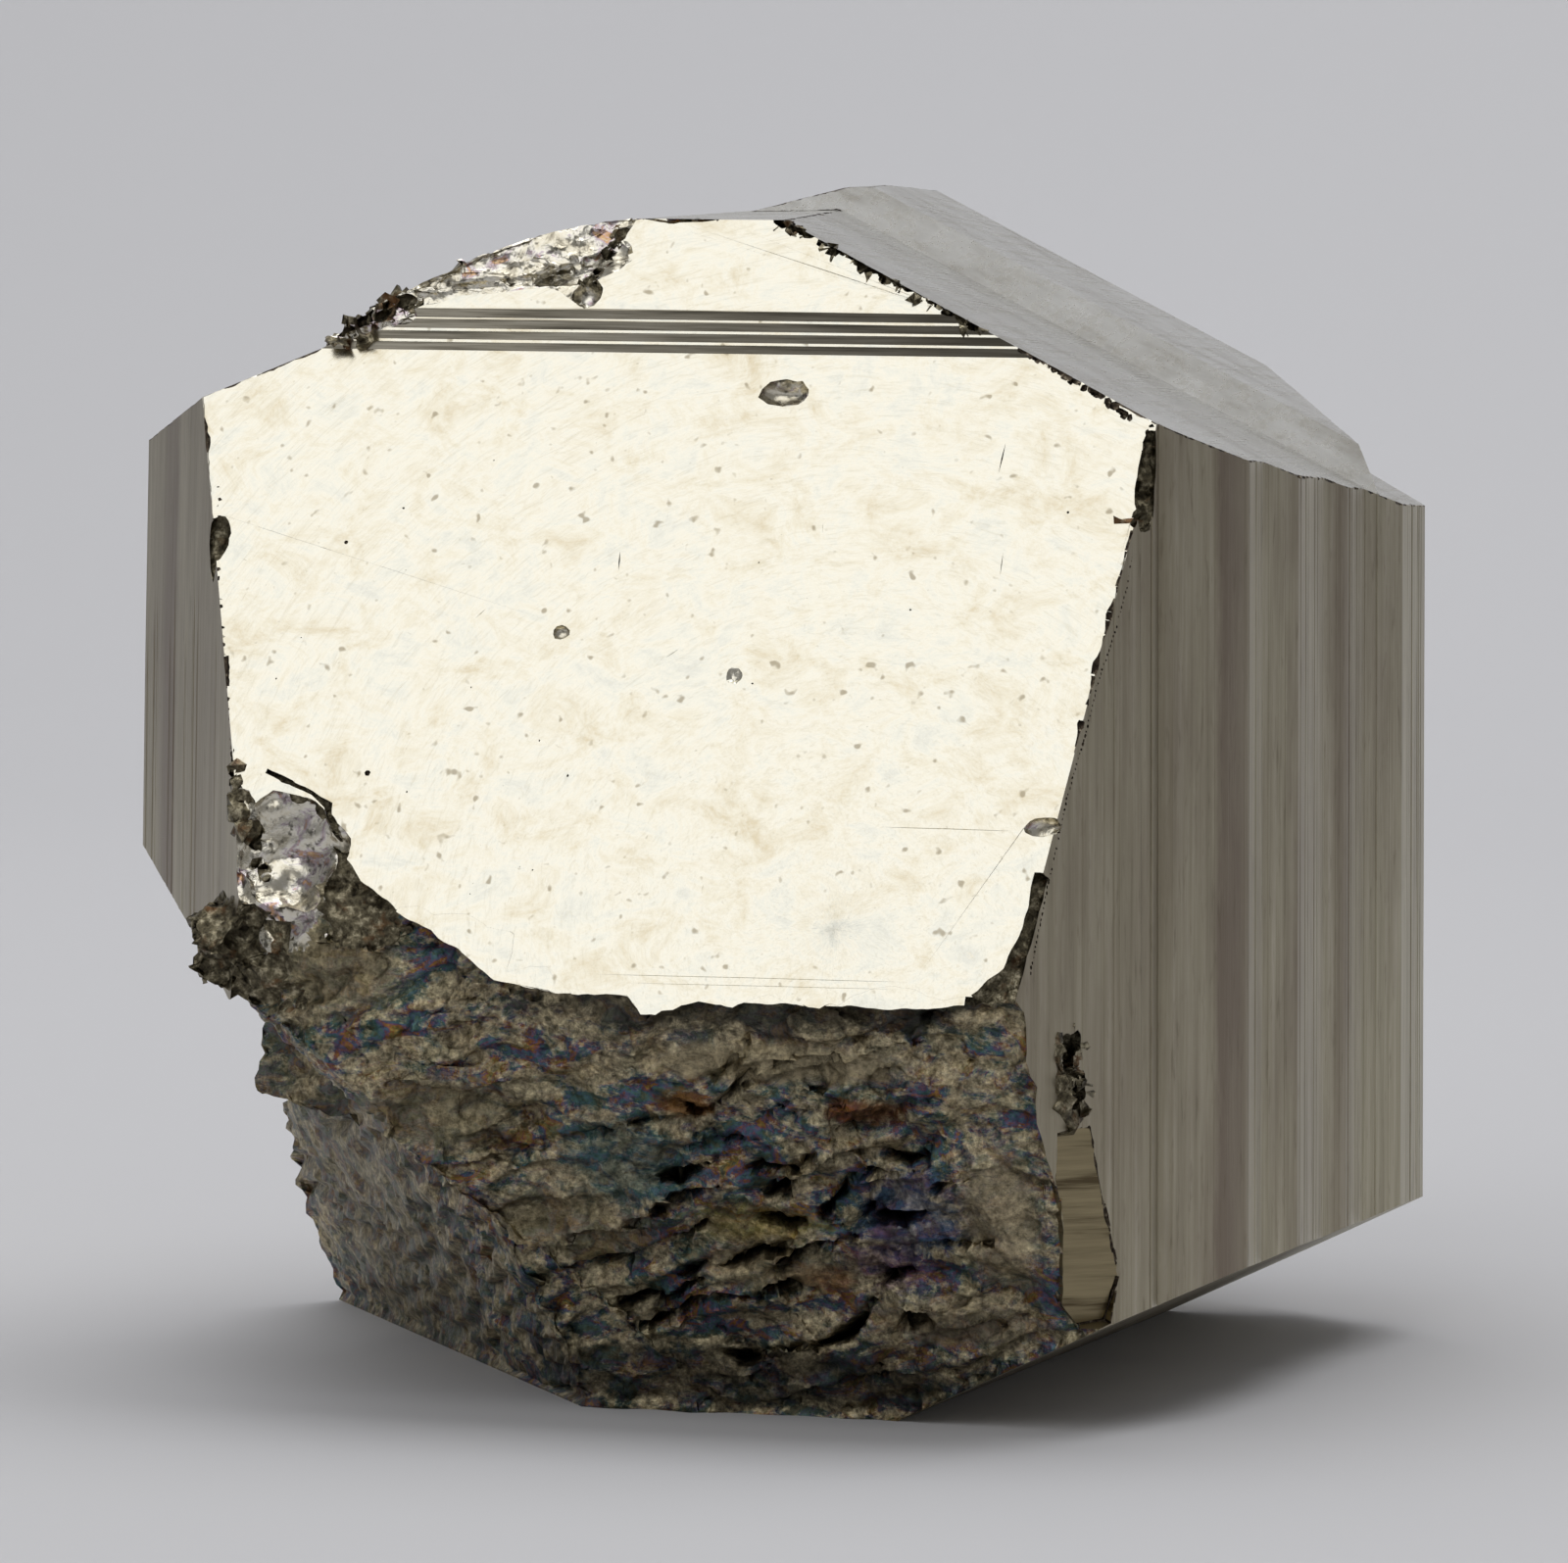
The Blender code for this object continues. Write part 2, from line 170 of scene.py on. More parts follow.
def makeStriatedSide():
    # Pyrite with growth lines: satin, drawn out up and down, with browner bands and dashes of dirt
    material, tree, shader, place = startMaterial("pyriteStriated", {"Metallic": 1.0, "Roughness": 0.38})
    upright = addNode(tree, "Mapping", {"Scale": (4200, 4200, 130)}, {"Vector": place})
    wide = addNode(tree, "Mapping", {"Scale": (420, 420, 110)}, {"Vector": place})
    short = addNode(tree, "Mapping", {"Scale": (7000, 7000, 1100)}, {"Vector": place})
    lines = addNode(tree, "TexNoise", {"Scale": 1.0, "Detail": 5.0, "Roughness": 0.65},
                    {"Vector": upright.outputs[0]})
    bands = addNode(tree, "TexNoise", {"Scale": 1.0, "Detail": 6.0, "Roughness": 0.65},
                    {"Vector": wide.outputs[0]})
    dashes = addNode(tree, "TexNoise", {"Scale": 1.0, "Detail": 3.0, "Roughness": 0.6},
                     {"Vector": short.outputs[0]})
    metal = addNode(tree, "ValToRGB", links={"Fac": lines.outputs["Fac"]},
                    stops=((0.3, "9B947F"), (0.5, "B0A993"), (0.7, "C2BBA8")))
    patches = addNode(tree, "ValToRGB", links={"Fac": bands.outputs["Fac"]}, stops=((0.42, 0.0), (0.66, 0.45)))
    parts = addNode(tree, "SeparateXYZ", {}, {0: place})
    across = addNode(tree, "MapRange", {"From Min": middle.y - 6 * mm, "From Max": middle.y + 10.6 * mm},
                     {"Value": parts.outputs[1]})
    wavy = addNode(tree, "Math", {"operation": "MULTIPLY_ADD", 1: 0.05},
                   {0: bands.outputs["Fac"], 2: across.outputs[0]})
    strips = addNode(tree, "ValToRGB", links={"Fac": wavy.outputs[0]},
                     stops=((0.05, 0.25), (0.15, 0.20), (0.17, 0.85), (0.21, 0.70), (0.25, 0.10), (0.37, 0.10),
                            (0.41, 0.40), (0.46, 0.05), (0.59, 0.05), (0.63, 0.50), (0.67, 0.45), (0.71, 0.0)))
    brown = addNode(tree, "Math", {"operation": "ADD", "use_clamp": True},
                    {0: patches.outputs["Color"], 1: strips.outputs["Color"]})
    dirty = addNode(tree, "ValToRGB", links={"Fac": dashes.outputs["Fac"]}, stops=((0.58, 0.0), (0.74, 0.45)))
    banded = addNode(tree, "Mix", {"data_type": "RGBA", 7: linear("85796A")},
                     {0: brown.outputs[0], 6: metal.outputs["Color"]})
    base = addNode(tree, "Mix", {"data_type": "RGBA", 7: linear("6F6450")},
                   {0: dirty.outputs["Color"], 6: banded.outputs[2]})
    relief = addNode(tree, "Bump", {"Distance": 0.012 * mm}, {"Height": lines.outputs["Fac"]})
    tree.links.new(base.outputs[2], shader.inputs["Base Color"])
    tree.links.new(relief.outputs["Normal"], shader.inputs["Normal"])
    return material


def makeRoofFace():
    # Pyrite, a smoother face than the rest: it mirrors what stands behind it, dulled by thin films
    # and by fine growth lines that run to the back
    material, tree, shader, place = startMaterial("pyriteSmooth", {"Metallic": 1.0, "Roughness": 0.24})
    wide = addNode(tree, "Mapping", {"Scale": (500, 500, 500)}, {"Vector": place})
    long = addNode(tree, "Mapping", {"Scale": (5000, 160, 5000)}, {"Vector": place})
    clouds = addNode(tree, "TexNoise", {"Scale": 1.0, "Detail": 8.0, "Roughness": 0.7},
                     {"Vector": wide.outputs[0]})
    lines = addNode(tree, "TexNoise", {"Scale": 1.0, "Detail": 5.0, "Roughness": 0.65},
                    {"Vector": long.outputs[0]})
    film = addNode(tree, "ValToRGB", links={"Fac": clouds.outputs["Fac"]},
                   stops=((0.36, "AFAB9F"), (0.48, "C6C4BB"), (0.66, "D6D5CE")))
    dull = addNode(tree, "ValToRGB", links={"Fac": lines.outputs["Fac"]}, stops=((0.50, 0.0), (0.70, 0.35)))
    gloss = addNode(tree, "ValToRGB", links={"Fac": lines.outputs["Fac"]}, stops=((0.3, 0.20), (0.7, 0.32)))
    base = addNode(tree, "Mix", {"data_type": "RGBA", 7: linear("8A8270")},
                   {0: dull.outputs["Color"], 6: film.outputs["Color"]})
    relief = addNode(tree, "Bump", {"Distance": 0.006 * mm}, {"Height": lines.outputs["Fac"]})
    tree.links.new(base.outputs[2], shader.inputs["Base Color"])
    tree.links.new(gloss.outputs["Color"], shader.inputs["Roughness"])
    tree.links.new(relief.outputs["Normal"], shader.inputs["Normal"])
    return material


def makeSteps():
    # Pyrite in narrow growth steps that face the dark side of the room: steel grey, darkened towards the right by
    # painted shade
    material, tree, shader, place = startMaterial("pyriteStepsPaintedShade", {"Metallic": 1.0, "Roughness": 0.3})
    level = addNode(tree, "Mapping", {"Scale": (250, 6000, 9000)}, {"Vector": place})
    lines = addNode(tree, "TexNoise", {"Scale": 1.0, "Detail": 4.0, "Roughness": 0.65},
                    {"Vector": level.outputs[0]})
    metal = addNode(tree, "ValToRGB", links={"Fac": lines.outputs["Fac"]},
                    stops=((0.38, "8A8475"), (0.50, "C4BCA9"), (0.62, "E6DFCC")))
    parts = addNode(tree, "SeparateXYZ", {}, {0: place})
    # painted shade: a dark grey mixed in more and more from left to right along the steps
    across = addNode(tree, "MapRange", {"From Min": middle.x - 5 * mm, "From Max": middle.x + 4 * mm,
                                        "To Min": 0.1, "To Max": 0.8}, {"Value": parts.outputs[0]})
    base = addNode(tree, "Mix", {"data_type": "RGBA", 7: linear("4A463D")},
                   {0: across.outputs[0], 6: metal.outputs["Color"]})
    tree.links.new(base.outputs[2], shader.inputs["Base Color"])
    return material


def makeCleaved():
    # Cleaved pyrite: a smooth brownish plane with a few dark streaks across
    material, tree, shader, place = startMaterial("pyriteCleaved", {"Metallic": 1.0, "Roughness": 0.35})
    level = addNode(tree, "Mapping", {"Scale": (200, 200, 4000)}, {"Vector": place})
    streaks = addNode(tree, "TexNoise", {"Scale": 1.0, "Detail": 4.0, "Roughness": 0.7},
                      {"Vector": level.outputs[0]})
    base = addNode(tree, "ValToRGB", links={"Fac": streaks.outputs["Fac"]},
                   stops=((0.34, "594E3B"), (0.44, "857A60"), (0.60, "968A6D")))
    tree.links.new(base.outputs["Color"], shader.inputs["Base Color"])
    return material


fractureColours = {
    "tints": ((0.33, "6B6450"), (0.40, "55604F"), (0.45, "4E6C68"), (0.49, "4C5E74"), (0.53, "66526A"),
              (0.57, "8A5B36"), (0.61, "8A7A44"), (0.66, "5F6150"), (0.72, "56554A")),
    # spots: middle and reach in mm, how strong, and the colour
    "spots": [
        ((1.9, -10.1, -4.7), (3.0, 1.5, 0.45), 0.95, "A3977A"),
        ((1.5, -10.3, -3.6), (6.0, 1.2, 0.75), 0.85, "4A463B"),
        ((-6.6, -9.7, -3.2), (1.5, 1.5, 0.9), 0.80, "93886B"),
        ((-4.6, -9.2, -5.9), (1.5, 1.8, 0.8), 0.70, "93886B"),
        ((-2.4, -8.0, -8.0), (1.6, 1.8, 0.9), 0.70, "8F8467"),
        ((-1.1, -8.8, -6.7), (1.5, 1.8, 1.1), 0.50, "4B6A66"),
        ((4.2, -8.5, -7.6), (1.2, 1.8, 1.1), 0.55, "48587A"),
        ((3.6, -8.0, -8.6), (0.9, 1.8, 0.7), 0.50, "6A4C68"),
        ((1.2, -8.2, -7.9), (1.3, 1.8, 0.5), 0.60, "8F7C3C"),
        ((2.4, -7.9, -8.9), (0.9, 1.8, 0.3), 0.60, "94602E"),
        ((0.2, -9.5, -5.6), (0.6, 1.5, 0.35), 0.80, "7E5426"),
        ((3.5, -9.4, -5.6), (0.9, 1.5, 0.3), 0.75, "7C4D28"),
        ((5.9, -8.6, -7.6), (0.8, 1.8, 1.6), 0.80, "A2957A"),
        ((4.9, -7.4, -9.6), (1.8, 1.8, 0.5), 0.75, "A09276"),
        ((1.4, -7.6, -8.7), (1.4, 1.8, 0.5), 0.60, "9C8E70"),
        ((0.0, -6.6, -10.9), (9.0, 3.0, 0.8), 0.65, "3A372F"),
        ((-9.5, 1.5, -9.0), (5.0, 7.0, 4.0), 0.55, "77705A"),
    ],
}


def makeBrokenFace(colours):
    # Broken pyrite with an old tarnish: dark grains under thin films of blue, violet, green and orange,
    # rubbed back to tan metal in patches, with painted shade that darkens the colour the deeper a place is sunk
    material, tree, shader, place = startMaterial("pyriteTarnished", {"Metallic": 1.0, "Roughness": 0.42})
    wide = addNode(tree, "Mapping", {"Scale": (1500, 1500, 2300), "Rotation": (0, 0.35, 0)}, {"Vector": place})
    fine = addNode(tree, "Mapping", {"Scale": (6500, 6500, 6500)}, {"Vector": place})
    patchy = addNode(tree, "Mapping", {"Scale": (1000, 1000, 1800), "Rotation": (0, 0.35, 0)}, {"Vector": place})
    films = addNode(tree, "TexNoise", {"Scale": 1.0, "Detail": 8.0, "Roughness": 0.72, "Distortion": 0.8},
                    {"Vector": wide.outputs[0]})
    bare = addNode(tree, "TexNoise", {"Scale": 1.0, "Detail": 8.0, "Roughness": 0.72, "Distortion": 0.4},
                   {"Vector": patchy.outputs[0]})
    grains = addNode(tree, "TexNoise", {"Scale": 1.0, "Detail": 5.0, "Roughness": 0.7},
                     {"Vector": fine.outputs[0]})
    tarnish = addNode(tree, "ValToRGB", links={"Fac": films.outputs["Fac"]}, stops=colours["tints"])
    metal = addNode(tree, "ValToRGB", links={"Fac": grains.outputs["Fac"]},
                    stops=((0.3, "736B55"), (0.5, "A89C7E"), (0.7, "D0C39F")))
    amount = addNode(tree, "ValToRGB", links={"Fac": bare.outputs["Fac"]}, stops=((0.46, 0.0), (0.54, 0.9)))
    base = addNode(tree, "Mix", {"data_type": "RGBA"},
                   {0: amount.outputs["Color"], 6: tarnish.outputs["Color"], 7: metal.outputs["Color"]})
    colour = base.outputs[2]
    for centre, reach, strength, tint in colours["spots"]:
        away = addNode(tree, "VectorMath", {"operation": "SUBTRACT", 1: middle + Vector(centre) * mm}, {0: place})
        share = addNode(tree, "VectorMath", {"operation": "DIVIDE", 1: Vector(reach) * mm}, {0: away.outputs[0]})
        length = addNode(tree, "VectorMath", {"operation": "LENGTH"}, {0: share.outputs[0]})
        ragged = addNode(tree, "Math", {"operation": "MULTIPLY_ADD", 1: 2.6},
                         {0: bare.outputs["Fac"], 2: length.outputs["Value"]})
        within = addNode(tree, "MapRange", {"From Min": 1.95, "From Max": 2.35, "To Min": strength, "To Max": 0.0},
                         {"Value": ragged.outputs[0]})
        mixed = addNode(tree, "Mix", {"data_type": "RGBA", 7: linear(tint)}, {0: within.outputs[0], 6: colour})
        colour = mixed.outputs[2]
    # painted shade: the deeper a place sinks into the fracture, the darker its colour, down to a tenth
    depth = addNode(tree, "Attribute", {"attribute_name": "depth_for_painted_shade"})
    painted_cavity_shade = addNode(tree, "MapRange", {"From Min": 0.10, "From Max": 0.60, "To Min": 1.0, "To Max": 0.10},
                    {"Value": depth.outputs["Fac"]})
    grain = addNode(tree, "MapRange", {"From Min": 0.3, "From Max": 0.7, "To Min": 0.5, "To Max": 1.6},
                    {"Value": grains.outputs["Fac"]})
    painted_shade_and_grain = addNode(tree, "Math", {"operation": "MULTIPLY"}, {0: painted_cavity_shade.outputs[0], 1: grain.outputs[0]})
    colour_with_painted_shade = addNode(tree, "VectorMath", {"operation": "SCALE"}, {0: colour, "Scale": painted_shade_and_grain.outputs[0]})
    crack = addNode(tree, "ValToRGB", links={"Fac": bare.outputs["Fac"]},
                    stops=((0.452, 1.0), (0.462, 0.35), (0.472, 1.0), (0.560, 1.0), (0.568, 0.4), (0.576, 1.0)))
    cracked = addNode(tree, "VectorMath", {"operation": "MULTIPLY"}, {0: colour_with_painted_shade.outputs[0], 1: crack.outputs["Color"]})
    relief = addNode(tree, "Bump", {"Distance": 0.04 * mm}, {"Height": grains.outputs["Fac"]})
    tree.links.new(cracked.outputs[0], shader.inputs["Base Color"])
    tree.links.new(relief.outputs["Normal"], shader.inputs["Normal"])
    return material


def makeRubble():
    # Crumbled pyrite: near black, glittering, with traces of rust
    material, tree, shader, place = startMaterial("pyriteRubble", {"Metallic": 1.0, "Roughness": 0.35})
    fine = addNode(tree, "Mapping", {"Scale": (5500, 5500, 5500)}, {"Vector": place})
    wide = addNode(tree, "Mapping", {"Scale": (1800, 1800, 1800)}, {"Vector": place})
    grains = addNode(tree, "TexNoise", {"Scale": 1.0, "Detail": 5.0, "Roughness": 0.7}, {"Vector": fine.outputs[0]})
    stains = addNode(tree, "TexNoise", {"Scale": 1.0, "Detail": 4.0, "Roughness": 0.6}, {"Vector": wide.outputs[0]})
    metal = addNode(tree, "ValToRGB", links={"Fac": grains.outputs["Fac"]},
                    stops=((0.36, "39342B"), (0.52, "6A6350"), (0.68, "BDB49A")))
    rust = addNode(tree, "ValToRGB", links={"Fac": stains.outputs["Fac"]}, stops=((0.56, 0.0), (0.68, 0.6)))
    base = addNode(tree, "Mix", {"data_type": "RGBA", 7: linear("6B4526")},
                   {0: rust.outputs["Color"], 6: metal.outputs["Color"]})
    relief = addNode(tree, "Bump", {"Distance": 0.05 * mm}, {"Height": grains.outputs["Fac"]})
    tree.links.new(base.outputs[2], shader.inputs["Base Color"])
    tree.links.new(relief.outputs["Normal"], shader.inputs["Normal"])
    return material


def makeChipped():
    # Fresh shell-shaped chips and blisters: pale cream, with violet and orange films where they thin out
    material, tree, shader, place = startMaterial("pyriteChipped", {"Metallic": 1.0, "Roughness": 0.24})
    wide = addNode(tree, "Mapping", {"Scale": (1500, 1500, 1900)}, {"Vector": place})
    fine = addNode(tree, "Mapping", {"Scale": (6000, 6000, 6000)}, {"Vector": place})
    films = addNode(tree, "TexNoise", {"Scale": 1.0, "Detail": 6.0, "Roughness": 0.65, "Distortion": 0.8},
                    {"Vector": wide.outputs[0]})
    grains = addNode(tree, "TexNoise", {"Scale": 1.0, "Detail": 4.0, "Roughness": 0.65}, {"Vector": fine.outputs[0]})
    metal = addNode(tree, "ValToRGB", links={"Fac": films.outputs["Fac"]},
                    stops=((0.32, "8F8878"), (0.42, "D2CBB8"), (0.55, "DCD8CC"), (0.61, "B3A5AE"),
                           (0.66, "BC9468"), (0.72, "CFC8B4")))
    dark = addNode(tree, "ValToRGB", links={"Fac": grains.outputs["Fac"]}, stops=((0.34, 0.85), (0.46, 0.0)))
    base = addNode(tree, "Mix", {"data_type": "RGBA", 7: linear("4A463B")},
                   {0: dark.outputs["Color"], 6: metal.outputs["Color"]})
    relief = addNode(tree, "Bump", {"Distance": 0.02 * mm}, {"Height": films.outputs["Fac"]})
    tree.links.new(base.outputs[2], shader.inputs["Base Color"])
    tree.links.new(relief.outputs["Normal"], shader.inputs["Normal"])
    return material


def makeWornEdge():
    # Crushed pyrite along the edges: dark red-brown to black, with a few bright grains
    material, tree, shader, place = startMaterial("pyriteCrushed", {"Metallic": 1.0, "Roughness": 0.35})
    fine = addNode(tree, "Mapping", {"Scale": (8000, 8000, 8000)}, {"Vector": place})
    grains = addNode(tree, "TexNoise", {"Scale": 1.0, "Detail": 5.0, "Roughness": 0.7}, {"Vector": fine.outputs[0]})
    base = addNode(tree, "ValToRGB", links={"Fac": grains.outputs["Fac"]},
                   stops=((0.40, "2E2823"), (0.56, "544A3E"), (0.70, "B4AC96")))
    relief = addNode(tree, "Bump", {"Distance": 0.03 * mm}, {"Height": grains.outputs["Fac"]})
    tree.links.new(base.outputs["Color"], shader.inputs["Base Color"])
    tree.links.new(relief.outputs["Normal"], shader.inputs["Normal"])
    return material


finishes = [makeBrightFace(), makeStriatedSide(), makeRoofFace(), makeSteps(), makeCleaved(),
            makeBrokenFace(fractureColours), makeRubble(), makeChipped(), makeWornEdge()]
bright, striated, roof, steps, cleaved, broken, rubble, chipped, worn = range(9)
rough = {broken, rubble, chipped}
print("materials made")


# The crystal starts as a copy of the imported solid. A face takes its finish from the way that it
# faces, apart from the chips and pits that lie within a few small balls.

solidSettings = {
    "weld": 0.0001 * mm,
    "nearby": math.cos(math.radians(2.0)),   # how closely a face has to match
    "shortest": 0.6,                         # mm: a face with no longer side is broken
    "crease": math.radians(28),
    "ways": [
        ((0.0, -0.911, 0.413), bright),
        ((0.92, -0.391, 0.018), striated), ((0.989, -0.15, 0.016), striated), ((1.0, 0.0, 0.018), striated),
        ((-0.88, -0.474, 0.008), striated), ((-1.0, 0.0, 0.0), striated), ((-0.894, 0.447, 0.0), striated),
        ((0.624, 0.781, 0.008), striated), ((0.02, 0.998, 0.05), striated), ((0.05, 0.998, 0.0), striated),
        ((0.953, 0.302, 0.0), striated), ((0.451, -0.006, 0.893), roof), ((-0.392, -0.044, 0.919), roof),
        ((0.0, -0.057, 0.998), roof), ((0.436, -0.265, 0.863), roof), ((-0.171, 0.822, 0.543), roof),
        ((0.0, 0.894, -0.447), striated), ((0.44, -0.055, -0.897), striated),
    ],
    "balls": [   # middle and radius in mm
        ((-7.2, -9.1, -0.9), 1.7, chipped), ((-4.2, -4.6, 9.8), 2.3, chipped), ((0.94, -5.3, 7.57), 0.8, chipped),
        ((-2.97, -4.93, 9.4), 0.6, rubble), ((-8.6, -8.4, -2.9), 1.5, rubble), ((-2.74, -7.5, 3.0), 0.5, chipped),
        ((6.85, -8.9, -0.2), 0.8, chipped),
        ((8.2, -6.2, 5.8), 1.5, rubble), ((-9.7, -6.8, 4.4), 1.0, rubble), ((-6.75, -5.05, 8.98), 0.9, rubble),
    ],
    "ledge": (-5.6, 7.5),   # y and z in mm: long upright faces above this place are the ledge
}


def brokenKind(spot, settings):
    reach = 1 + 0.35 * noise.fractal(spot * 1.6, 0.8, 2.0, 4)
    for centre, radius, kind in settings["balls"]:
        if (spot - Vector(centre)).length < radius * reach:
            return kind
    return broken


def finishOf(face, settings, ways):
    spot = (face.calc_center_median() - middle) / mm
    longest = max(edge.calc_length() for edge in face.edges) / mm
    way, finish = max(ways, key=lambda pair: face.normal.dot(pair[0]))
    if face.normal.dot(way) > settings["nearby"] and longest > settings["shortest"]:
        return finish
    y, z = settings["ledge"]
    if longest > 3.0 and abs(face.normal.x) < 0.1 and spot.y > y and spot.z > z and spot.y < 0:
        return steps
    if longest > 3.0 and abs(face.normal.z) < 0.06 and (spot.x > 6 or spot.z > -1):
        return striated
    if face.normal.z < -0.98 and face.calc_center_median().z < 0.05 * mm:
        return cleaved   # the flat underside
    if spot.y > 12 and spot.z > 9:
        return roof
    return brokenKind(spot, settings)


def calmSlivers(bm):  # a sliver takes the finish of what lies along its longest side
    for face in bm.faces:
        longest = max(face.edges, key=lambda edge: edge.calc_length())
        if face.calc_area() < 0.02 * mm * longest.calc_length():
            face.material_index = next(other for other in longest.link_faces if other != face).material_index


def calmFront(bm):  # whatever lies in the plane of the bright face is bright, narrow risers as well
    for face in bm.faces:
        if all(abs((vert.co - middle).dot(faceWay) / mm - 8.08) < 0.02 for vert in face.verts):
            face.material_index = bright


def copySolid(node, settings):
    bm = bmesh.new()
    bm.from_mesh(bpy.data.objects[node].data)
    bmesh.ops.remove_doubles(bm, verts=bm.verts, dist=settings["weld"])
    ways = [(Vector(way).normalized(), finish) for way, finish in settings["ways"]]
    for face in bm.faces:
        face.material_index = finishOf(face, settings, ways)
    calmSlivers(bm)
    mesh = bpy.data.meshes.new("pyriteCluster")
    bm.to_mesh(mesh)
    bm.free()
    for material in finishes:
        mesh.materials.append(material)
    made = bpy.data.objects.new("pyriteCluster", mesh)
    bpy.context.scene.collection.objects.link(made)
    return made


faceWay = Vector((0.0, -0.911, 0.413)).normalized()
faceUp = Vector((0.0, 0.413, 0.911)).normalized()


def toolFrom(bm, finish):  # a closed mesh for a Boolean: all of one finish, but what faces like the front is bright
    bmesh.ops.recalc_face_normals(bm, faces=bm.faces)
    if bm.calc_volume(signed=True) < 0:
        bmesh.ops.reverse_faces(bm, faces=bm.faces)
    bm.normal_update()
    for face in bm.faces:
        face.material_index = bright if finish == broken and face.normal.dot(faceWay) > 0.999 else finish
    mesh = bpy.data.meshes.new("tool")
    bm.to_mesh(mesh)
    bm.free()
    for material in finishes:
        mesh.materials.append(material)
    tool = bpy.data.objects.new("tool", mesh)
    bpy.context.scene.collection.objects.link(tool)
    return tool


def combine(piece, tool, operation):
    step = piece.modifiers.new("step", "BOOLEAN")
    step.operation = operation
    step.solver = "MANIFOLD"
    step.object = tool
    graph = bpy.context.evaluated_depsgraph_get()
    mesh = bpy.data.meshes.new_from_object(piece.evaluated_get(graph))
    piece.modifiers.clear()
    used = (piece.data, tool.data)
    piece.data = mesh
    bpy.data.objects.remove(tool)
    for old in used:
        bpy.data.meshes.remove(old)


crystal = copySolid("pyrite_cluster", solidSettings)
print("solid copied:", len(crystal.data.polygons), "faces")


def onFace(x, z, distance=8.08):  # the place on a plane like the bright face, at that width and height in mm
    return middle + Vector((x, (distance - z * faceWay.z) / faceWay.y, z)) * mm


def applyPrism(piece, points, way, finish, operation="DIFFERENCE"):
    bm = bmesh.new()
    near = [bm.verts.new(point) for point in points]
    far = [bm.verts.new(vert.co + way * mm) for vert in near]
    bm.faces.new(near)
    bm.faces.new(far[::-1])
    for i in range(len(near)):
        j = (i + 1) % len(near)
        bm.faces.new((near[i], near[j], far[j], far[i]))
    combine(piece, toolFrom(bm, finish), operation)


# Patches: where the bright face runs lower or stops earlier, the raised corner on the left with its
# eroded hollow, and the clean cleaved facet at the lower right

patchSettings = [   # plane, way to go in mm, finish, what is done, outline
    (8.079, -0.7 * faceWay, broken, "UNION",
     [(-6.02, -1.59), (-5.3, -2.09), (-4.51, -2.46), (-3.8, -2.89), (-3.2, -3.29), (-2.07, -3.48),
      (-0.69, -3.49), (1.14, -3.56), (3.31, -3.56), (4.63, -3.58), (5.55, -3.47), (5.5, -2.2), (-0.6, -1.8),
      (-2.3, -1.2), (-3.9, -0.6), (-5.3, -0.6), (-5.9, -1.0)]),
    (7.90, 2.0 * faceWay, rubble, "DIFFERENCE",
     [(6.6, -1.18), (6.54, -1.7), (6.42, -2.31), (6.15, -2.89), (5.63, -3.36), (6.46, -3.9), (7.3, -3.3),
      (7.3, -1.18)]),
    (7.80, 2.0 * faceWay, rubble, "DIFFERENCE",
     [(-6.66, -1.07), (-6.31, -1.28), (-5.95, -1.71), (-5.21, -2.2), (-5.11, -2.91), (-6.49, -2.95),
      (-6.79, -1.29)]),
    (8.256, Vector((-0.7, 3.4, -1.1)), chipped, "UNION",
     [(-8.03, 8.47), (-7.14, 9.12), (-6.37, 9.6), (-5.59, 9.95), (-4.18, 10.53), (-3.14, 10.77),
      (-2.25, 10.91), (-2.19, 10.42), (-3.05, 10.09), (-4.13, 9.55), (-5.98, 8.96), (-7.64, 8.41)]),
    (8.236, 2.0 * faceWay, chipped, "DIFFERENCE",
     [(-6.47, 8.96), (-5.45, 9.25), (-4.5, 9.34), (-3.74, 9.44), (-3.44, 9.33), (-3.17, 9.13), (-2.86, 9.09),
      (-2.74, 9.38), (-2.96, 9.64), (-2.79, 10.09), (-2.33, 10.4), (-2.03, 11.08), (-3.21, 11.6),
      (-5.62, 11.0), (-6.95, 10.2)]),
    (8.30, 1.0 * faceWay, steps, "DIFFERENCE",   # the dark wedge along the top of the ledge
     [(-6.33, 8.82), (-0.99, 8.83), (3.9, 8.84), (5.39, 8.77), (5.83, 8.51), (3.93, 8.51), (-0.97, 8.65),
      (-6.32, 8.77)]),
    (7.93, 1.0 * faceWay, rubble, "DIFFERENCE",   # the crack along the upper side of the chip
     [(-8.02, 0.33), (-7.70, 0.17), (-7.52, 0.15), (-7.36, 0.04), (-7.08, -0.08), (-6.90, -0.15),
      (-6.70, -0.28), (-6.66, -0.47), (-6.57, -0.62), (-6.55, -0.85), (-6.42, -1.06), (-6.34, -1.30),
      (-6.15, -1.47), (-6.27, -1.55), (-6.43, -1.36), (-6.52, -1.12), (-6.63, -0.90), (-6.66, -0.66),
      (-6.77, -0.50), (-6.82, -0.36), (-6.94, -0.25), (-7.12, -0.15), (-7.40, -0.05), (-7.56, 0.06),
      (-7.74, 0.07), (-8.05, 0.24)]),
]
facetSettings = {
    "way": Vector((0.636, -0.757, -0.152)) * 3.0,
    "corners": [(6.70, -8.54, -5.79), (7.47, -7.89, -5.82), (7.73, -7.45, -6.94), (7.89, -6.98, -8.61),
                (7.64, -7.02, -9.47), (7.14, -7.42, -9.54), (6.90, -7.71, -9.12), (6.76, -8.12, -7.63),
                (6.61, -8.43, -6.70)],
}
